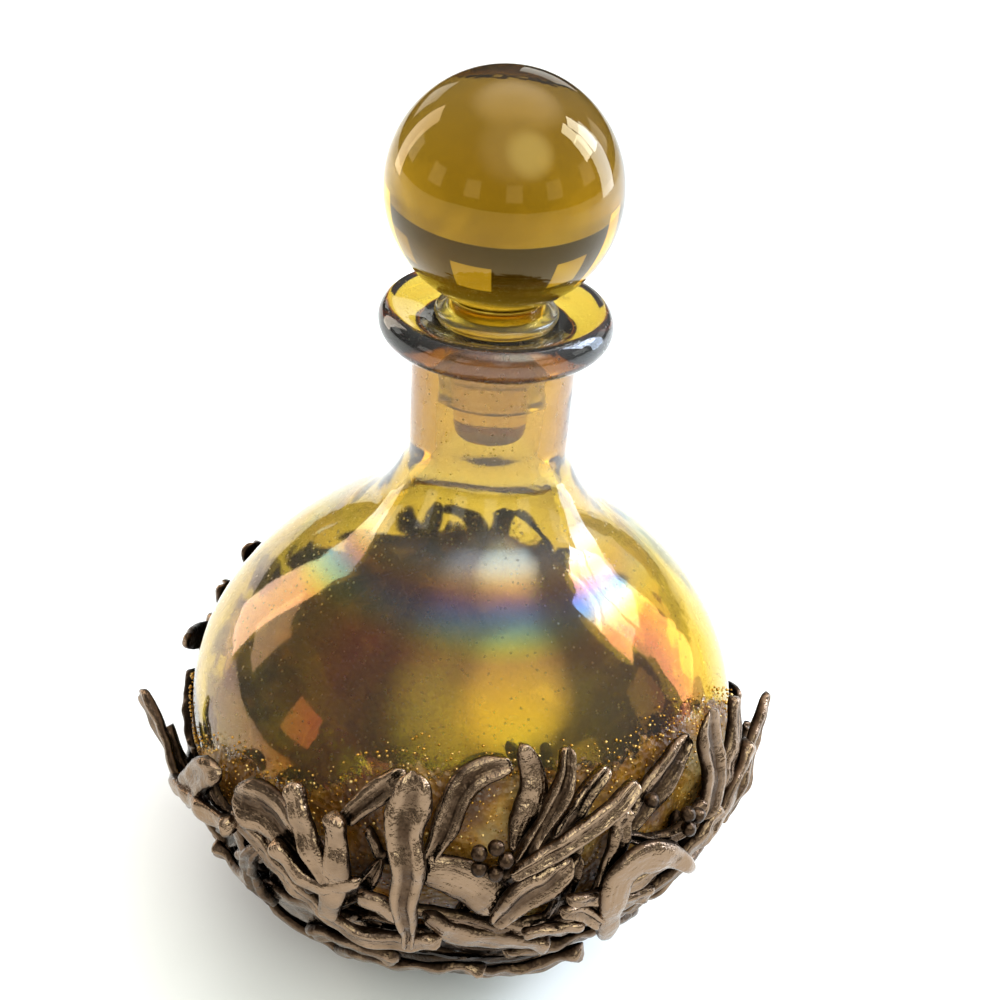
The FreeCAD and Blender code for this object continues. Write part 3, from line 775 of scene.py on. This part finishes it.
def make_cup(material):
    """Hand-beaten cup under the glass, its rim lost among the leaves."""
    low = CEMENT_THICK + LEAF_GAP
    wall = list(np.linspace(3.0, CUP_TOP_Z, 22))

    def rim(height, out):
        at, _ = on_belly(90, height, low + out)
        return (at.x - lean(height), at.z)

    bottom = (0, FOOT_HEIGHT + 0.3)
    profile = [bottom] + straight(bottom, (12.2, FOOT_HEIGHT + 0.05), 8)
    profile += [rim(h, 1.1) for h in wall]
    profile += [rim(CUP_TOP_Z, 0.9), rim(CUP_TOP_Z, 0.2)]
    profile += [rim(h, 0.0) for h in wall[::-1]]
    profile += straight(profile[-1], (0, 1.9), 6)

    def beaten(point, i):
        outward = Vector((point.x, point.y, -6))
        if outward.length > 1e-6:
            outward.normalize()
        amount = 0.38 if 6 < i < 8 + len(wall) else 0.05
        return point + outward * amount * ripple(point, 3.2, 15) + Vector((lean(point.z), 0, 0))

    points, faces, _ = turned(profile, 180, beaten)
    # kept low, so the cup comes out dark: a deeper wash, and painted shade under the glass and leaves
    rub_and_shade = [0.12 + 0.25 * ripple(p, 3.0, 16) for p in points]
    return piece("beaten_cup", points, faces, [material], {"rub_and_shade": rub_and_shade})


def make_feet(material):
    """Four flattened lobes of solder that the bottle stands on."""
    profile = [(0, 0.0), (1.3, 0.0), (2.4, 0.02), (3.0, 0.14), (3.35, 0.42), (3.45, 0.75), (3.3, 1.05),
               (2.6, 1.2), (0, 1.25)]
    parts = []
    for seed, azimuth in enumerate(FOOT_AZIMUTHS):
        turn = radians(azimuth)
        centre = Vector((FOOT_CIRCLE * sin(turn), -FOOT_CIRCLE * cos(turn), 0))
        points, faces, _ = turned(profile, 40)
        shaped = []
        for p in points:
            scale = 1 + 0.10 * ripple(p + centre, 3.0, 40 + seed)
            shaped.append(Vector((p.x * scale, p.y * scale, p.z)) + centre + Vector((lean(0), 0, 0)))
        # painted shade: each lobe is darker along its bottom edge, where it meets the board
        parts.append((shaped, faces, {"rub_and_shade": [0.35 + 0.2 * (p.z > 0.3) for p in points]}))
    points, faces, values = joined(parts)
    return piece("solder_feet", points, faces, [material], values)


def scatter_tree(name, material):
    """Geometry Nodes tree that lays copies of a small shape over a surface, flat against it and
    turned by chance, with its sizes as named inputs."""
    tree = bpy.data.node_groups.new(name, "GeometryNodeTree")
    for label, kind in (("Surface", "Geometry"), ("Shape", "Object"), ("Spacing", "Float"),
                        ("Density", "Float"), ("Smallest", "Float"), ("Largest", "Float"),
                        ("Turn", "Float"), ("Seed", "Int")):
        tree.interface.new_socket(label, in_out="INPUT", socket_type="NodeSocket" + kind)
    tree.interface.new_socket("Result", in_out="OUTPUT", socket_type="NodeSocketGeometry")
    start = add(tree, "NodeGroupInput").outputs
    spread = add(tree, "GeometryNodeDistributePointsOnFaces", {
        "Mesh": start["Surface"], "Distance Min": start["Spacing"], "Density Max": start["Density"],
        "Seed": start["Seed"]}, distribute_method="POISSON")
    normal = spread.outputs["Normal"]
    level = add(tree, "ShaderNodeVectorMath", {0: (0, 0, 1), 1: normal}, operation="CROSS_PRODUCT")
    facing = add(tree, "FunctionNodeAlignRotationToVector", {"Vector": normal}, axis="Z")
    lying = add(tree, "FunctionNodeAlignRotationToVector", {
        "Rotation": facing, "Vector": level}, axis="X", pivot_axis="Z")
    least = add(tree, "ShaderNodeMath", {0: start["Turn"], 1: -1.0}, operation="MULTIPLY")
    chance = add(tree, "FunctionNodeRandomValue", {2: least, 3: start["Turn"], 8: start["Seed"]})
    turn = add(tree, "FunctionNodeAxisAngleToRotation", {"Axis": (0, 0, 1), "Angle": chance.outputs[1]})
    turned_by = add(tree, "FunctionNodeRotateRotation", {"Rotation": lying, "Rotate By": turn},
                    rotation_space="LOCAL")
    size = add(tree, "FunctionNodeRandomValue", {2: start["Smallest"], 3: start["Largest"], 8: start["Seed"]})
    shape = add(tree, "GeometryNodeObjectInfo", {"Object": start["Shape"]})
    laid = add(tree, "GeometryNodeInstanceOnPoints", {
        "Points": spread.outputs["Points"], "Instance": shape.outputs["Geometry"],
        "Rotation": turned_by, "Scale": size.outputs[1]})
    solid = add(tree, "GeometryNodeRealizeInstances", {"Geometry": laid})
    finish = add(tree, "GeometryNodeSetMaterial", {"Geometry": solid, "Material": material})
    add(tree, "NodeGroupOutput", {"Result": finish})
    return tree


def scattered(name, surface, shape, tree, values):
    """Plain mesh piece from a surface, a small shape and the scatter tree's inputs."""
    modifier = surface.modifiers.new("scatter", "NODES")
    modifier.node_group = tree
    settings = dict(values, Shape=shape)
    for item in tree.interface.items_tree:
        if item.in_out == "INPUT" and item.name in settings:
            modifier[item.identifier] = settings[item.name]
    bpy.context.view_layer.update()
    graph = bpy.context.evaluated_depsgraph_get()
    mesh = bpy.data.meshes.new_from_object(surface.evaluated_get(graph))
    mesh.name = name
    mesh.shade_smooth()
    for used in (surface, shape):
        bpy.data.objects.remove(used)
    return placed(name, mesh)


def band_surface(low, high, standoff):
    """Open band round the belly between two heights or height functions."""
    columns, rows = 90, 16
    points = []
    for i in range(rows):
        for k in range(columns):
            azimuth = 360 * k / columns
            bottom, top = low(azimuth), high(azimuth)
            points.append(on_belly(azimuth, bottom + (top - bottom) * i / (rows - 1), standoff)[0])
    return piece("band", points, closed_rows(rows, columns), [], outward=False)


def little_leaf():
    """Pointed leaf 13 mm long with a folded middle, lying along X and bent to the belly."""
    stations = [(-6.4, 0.3), (-4.8, 1.15), (-1.8, 1.85), (1.6, 1.8), (4.6, 1.2), (6.4, 0.3)]
    # across, height, and the rub-and-shade value: crowns lighter, fold, edges and underside darker, partly
    # wear and partly painted shade
    section = [(-1, 0.0, 0.1), (-0.55, 1.05, 0.8), (0, 0.55, 0.25), (0.55, 1.1, 0.85), (1, 0.0, 0.1),
               (0, -0.2, 0.0)]
    points, rub_and_shade = [], []
    for x, half in stations:
        sag = -x * x / 60
        for across, up, polish_and_shade in section:
            points.append(Vector((x, across * half, up * (0.45 + 0.35 * half) + sag)))
            rub_and_shade.append(polish_and_shade)
    faces = closed_rows(len(stations), len(section))
    faces += [tuple(range(5, -1, -1)), tuple(range(len(points) - 6, len(points)))]
    return piece("little_leaf", points, faces, [], {"rub_and_shade": rub_and_shade})


def grain():
    """Angular crumb 1 mm across before it is scaled."""
    shape = bmesh.new()
    bmesh.ops.create_icosphere(shape, subdivisions=1, radius=0.5)
    points = [v.co * (1 + 0.35 * ripple(v.co, 0.4, 50)) for v in shape.verts]
    faces = [tuple(v.index for v in face.verts) for face in shape.faces]
    shape.free()
    return piece("grain", points, faces, [])


def ride_with(made, body, slot, *nodes):
    """Ties a finished piece to its body and hides the solids it stands for; the slot is not used."""
    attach(made, body)
    if nodes:
        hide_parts(*nodes)


def make_sleeve(polished, dark):
    """All the leaf-work, a piece for each blade and one for each group of small ones."""
    for half in HALVES:
        for number, row in enumerate(BLADES):
            name, root, middle, tip, width, layer, form, lift, crease, end = row
            places = moved_round((root, middle, tip), half)
            seed = number + (50 if half == "back" else 0)
            if half == "back":
                lift, end = 0.4 * lift, "blunt"
            points, faces, values = ribbon(*places, width, layer, form, lift, crease, end, seed)
            made = piece(f"{half}_{name}_strip", points, faces, [polished], values)
            ride_with(made, "bottle", "pewter", f"{half}_{name}")
    # piece, solids it stands for, rows, finish, form, crease, tip shape
    groups = [
        ("small_leaves_strips", ["small_leaves"], SMALL_LEAVES, polished, "strap", 0.35, "blunt"),
        ("thin_stems_strips", ["thin_stems"], THIN_STEMS, polished, "strap", 0.0, "bead"),
        ("side_strands_strips", ["side_strands"], SIDE_STRANDS, polished, "strap", 0.25, "blunt"),
        ("foot_blades_strips", ["foot_blades"], FOOT_BLADES, polished, "leaf", 0.40, "blunt"),
        ("gap_strips", [], GAP_STRANDS, dark, "leaf", 0.35, "blunt"),
        ("vine_strips", [], VINES, polished, "strap", 0.15, "bead"),
    ]
    for name, solids, rows, finish, form, crease, end in groups:
        parts = []
        for half in HALVES:
            for number, (root, middle, tip, width, layer) in enumerate(rows):
                places = moved_round((root, middle, tip), half)
                seed = 100 + number + 7 * len(solids[0] if solids else name) + (30 if half == "back" else 0)
                parts.append(ribbon(*places, width, layer, form, 0.0, crease, end, seed))
        points, faces, values = joined(parts)
        ride_with(piece(name, points, faces, [finish], values), "bottle", "pewter", *solids)


# ---- studio ----

def make_camera():
    """Camera above the front, looking down on the bottle."""
    position = Vector((0.98, -165.0, 170.4)) * MM
    pitch, yaw, roll = radians(31.8), radians(0.36), radians(4.1)
    turn = (Matrix.Rotation(-yaw, 4, "Z") @ Matrix.Rotation(pi / 2 - pitch, 4, "X")
            @ Matrix.Rotation(roll, 4, "Z"))
    data = bpy.data.cameras.new("camera")
    data.lens, data.sensor_width = 54.0, 36.0
    data.clip_start, data.clip_end = 0.005, 50.0
    camera = placed("camera", data)
    camera.matrix_world = Matrix.Translation(position) @ turn
    bpy.context.scene.camera = camera


def softbox(name, place, target, width, height, power, colour):
    """Rectangular lamp turned to its target, sizes in metres."""
    data = bpy.data.lights.new(name, "AREA")
    data.shape, data.size, data.size_y = "RECTANGLE", width, height
    data.energy, data.color = power, hex_colour(colour)[:3]
    lamp = placed(name, data)
    lamp.location = place
    lamp.rotation_euler = (Vector(target) - Vector(place)).to_track_quat("-Z", "Y").to_euler()


def make_studio():
    """White board on the table, a pale room with windows, and softboxes left and right."""
    board = bpy.data.meshes.new("board")
    shape = bmesh.new()
    bmesh.ops.create_grid(shape, x_segments=8, y_segments=8, size=4.0)
    shape.to_mesh(board)
    shape.free()
    board.materials.append(pale_floor())
    floor = placed("board", board)
    floor.location.z = -0.05 * MM
    world = bpy.data.worlds.new("studio")
    world.use_nodes = True
    bpy.context.scene.world = world
    tree = world.node_tree
    tree.nodes.clear()
    way = add(tree, "ShaderNodeTexCoord").outputs["Generated"]
    parts = add(tree, "ShaderNodeSeparateXYZ", {0: way})
    # the room is lighter overhead and to the right
    height = add(tree, "ShaderNodeMath", {0: parts.outputs["X"], 1: 0.22, 2: parts.outputs["Z"]},
                 operation="MULTIPLY_ADD")
    glow = add(tree, "ShaderNodeValToRGB", {"Fac": height}, stops=[
        (0.0, "#4a443c"), (0.22, "#6a665e"), (0.50, "#a0a09c"), (0.85, "#d4d8dc")])
    # a row of tall windows stands round the room, 8 to 24 degrees above the table
    flat = add(tree, "ShaderNodeMath", {0: parts.outputs["X"], 1: parts.outputs["Y"]}, operation="ARCTAN2")
    bays = add(tree, "ShaderNodeMath", {0: flat, 1: 9.0}, operation="MULTIPLY")
    wave = add(tree, "ShaderNodeMath", {0: bays}, operation="SINE")
    pane = add(tree, "ShaderNodeMath", {0: wave, 1: 0.35}, operation="GREATER_THAN")
    tall = add(tree, "ShaderNodeMath", {0: parts.outputs["Z"], 1: 0.27, 2: 0.13}, operation="COMPARE")
    lit = add(tree, "ShaderNodeMath", {0: pane, 1: tall}, operation="MULTIPLY")
    sky = add(tree, "ShaderNodeMix", {0: lit, 6: glow, 7: (1.6, 1.6, 1.5, 1)}, data_type="RGBA").outputs[2]
    # soft lamps overhead: direction, cosines where the glow begins and is full, light
    for direction, near, full, colour in (((0.09, 0.24, 0.96), 0.80, 0.97, (3.5, 3.4, 3.2, 1)),
                                          ((0.12, -0.52, 0.85), 0.78, 0.98, (2.0, 2.1, 2.3, 1)),
                                          ((0.34, -0.55, 0.76), 0.90, 1.00, (5.6, 6.2, 5.4, 1))):
        facing = add(tree, "ShaderNodeVectorMath", {0: way, 1: Vector(direction).normalized()},
                     operation="DOT_PRODUCT")
        soft = add(tree, "ShaderNodeMapRange", {0: facing.outputs["Value"], 1: near, 2: full},
                   interpolation_type="SMOOTHSTEP")
        sky = add(tree, "ShaderNodeMix", {0: soft, 6: sky, 7: colour}, data_type="RGBA").outputs[2]
    # the plain backdrop behind the table
    seen = add(tree, "ShaderNodeLightPath").outputs["Is Camera Ray"]
    shown = add(tree, "ShaderNodeMix", {0: seen, 6: sky, 7: (1.2, 1.2, 1.2, 1)}, data_type="RGBA")
    light = add(tree, "ShaderNodeBackground", {"Color": shown.outputs[2], "Strength": 0.9})
    add(tree, "ShaderNodeOutputWorld", {"Surface": light})
    middle = (0.0, 0.0, 50 * MM)
    softbox("left_strip", (-0.75, 0.45, 0.35), middle, 0.25, 0.7, 2.4, "#fff0dc")
    softbox("right_strip", (0.86, 0.36, 0.32), middle, 0.34, 0.8, 6.5, "#d4e6ff")
    for row in (0, 1):
        for column in (0, 1):
            place = (0.55 + 0.03 * column, 0.10 + 0.17 * column, 0.42 + 0.21 * row)
            softbox(f"window_{row}{column}", place, middle, 0.14, 0.18, 1.1, "#dceaff")
    bpy.context.scene.view_settings.view_transform = "Standard"


def main():
    make_camera()
    amber, pressed = lustre_glass(), stopper_glass()
    # glass side of the cement skin: brass dust pressed on the glass, and lighter stops than the outer cement
    # as painted light for the dim inside of the bottle
    lighter_glass_side_cement = gold_cement("brass_dust_on_glass_painted_light", [
        (0.34, "#a86a24"), (0.45, "#d8a040"), (0.56, "#f2d068"), (0.70, "#fff4c0")], 0.55, 0.80)
    cement = gold_cement("brass_dust_cement", [
        (0.36, "#6a3e06"), (0.47, "#98620f"), (0.57, "#c89030"), (0.70, "#f2d080")], 0.55, 0.35)
    filings = brass_grit()
    polished = rubbed_pewter("rubbed_cast_pewter", "#0d0906", "#241910", "#443427", "#87705a", 0.37)
    # darker copy of the pewter for the cup, feet, gap strips and low leaves: a deeper wash, and painted shade
    # for the hollows
    dark = rubbed_pewter("washed_pewter_painted_shade", "#090604", "#19120c", "#34271b", "#685443", 0.37)

    ride_with(make_bottle(amber), "bottle", "lustre_glass", "bottle_glass")
    ride_with(make_stopper(pressed), "stopper", "stopper_glass", "stopper")
    ride_with(make_seal(clear_seal()), "seal", "clear_seal", "stopper_seal")
    ride_with(make_cement(cement, lighter_glass_side_cement), "bottle", "gold_cement", "cement_bed")
    ride_with(make_cup(dark), "bottle", "pewter", "base_cup")
    ride_with(make_feet(dark), "bottle", "pewter", "feet")
    ride_with(make_berries(polished), "bottle", "pewter", "berries")
    make_sleeve(polished, dark)

    hollows = band_surface(lambda a: 5.0, lambda a: 26.5 if 90 < a < 270 else 30.0, 1.5)
    leaves = scattered("low_leafwork", hollows, little_leaf(), scatter_tree("lay_leaves", dark),
                       {"Spacing": 3.2 * MM, "Density": 90000.0, "Smallest": 0.75, "Largest": 1.25,
                        "Turn": 0.9, "Seed": 4})
    ride_with(leaves, "bottle", "pewter")
    edge = band_surface(lambda a: cement_top(a) - 13, lambda a: cement_top(a) + 0.8, 0.45)
    grit = scattered("edge_grit", edge, grain(), scatter_tree("lay_grit", filings),
                     {"Spacing": 0.42 * MM, "Density": 1300000.0, "Smallest": 0.12, "Largest": 0.46,
                      "Turn": 3.1, "Seed": 9})
    ride_with(grit, "bottle", "gold_cement")
    make_studio()


main()
